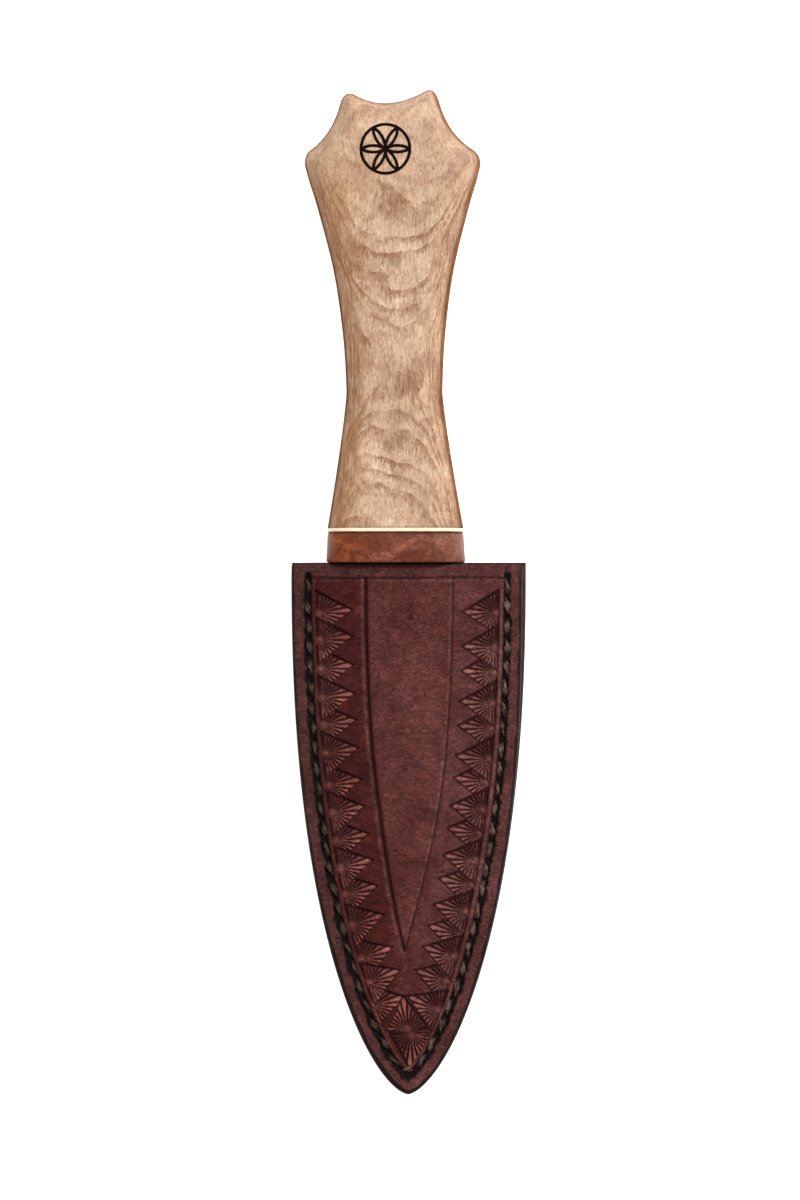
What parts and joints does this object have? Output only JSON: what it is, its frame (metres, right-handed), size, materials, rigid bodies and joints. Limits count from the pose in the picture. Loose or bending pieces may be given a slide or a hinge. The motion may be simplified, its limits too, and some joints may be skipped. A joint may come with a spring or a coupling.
{
  "type": "sheath knife",
  "caption": "Straight spear-point knife with a flared, scalloped ash handle, seated in a tooled and saddle-stitched leather belt sheath with a loop on its back.",
  "frame": {"origin": "on the surface the part lies on, under the middle of its bounding box; the belt loop's flat face lies on z = 0", "axes": "+Y from the sheath's tip to the pommel, along the way the knife is drawn; +X to the right seen from the tooled face; +Z out of the tooled face"},
  "size_m": [0.0584, 0.2508, 0.0239],
  "materials": {
    "steel": "satin ground",
    "burl": "oiled, satin",
    "dark_fibre": "matt",
    "maple": "oiled, satin",
    "ash": "oiled, satin",
    "epoxy": "cured, hidden",
    "tooled_leather": "waxed, soft sheen",
    "plain_leather": "waxed, soft sheen",
    "welt_leather": "burnished edge",
    "waxed_thread": "waxed"
  },
  "bodies": {
    "sheath": {"front_panel": "tooled_leather", "back_panel": "plain_leather", "welt_left": "welt_leather", "welt_right": "welt_leather", "seam_thread": "waxed_thread", "belt_loop": "plain_leather", "loop_thread_upper": "waxed_thread", "loop_thread_lower": "waxed_thread"},
    "knife": {"blade": "steel", "bolster": "burl", "dark_liner": "dark_fibre", "spacer": "maple", "grip": "ash", "tang_epoxy": "epoxy"}
  },
  "joints": [
    {"name": "knife_draw", "type": "slide", "parent": "sheath", "child": "knife", "axis": [0, 1, 0], "range_m": [0, 0.115]}
  ]
}
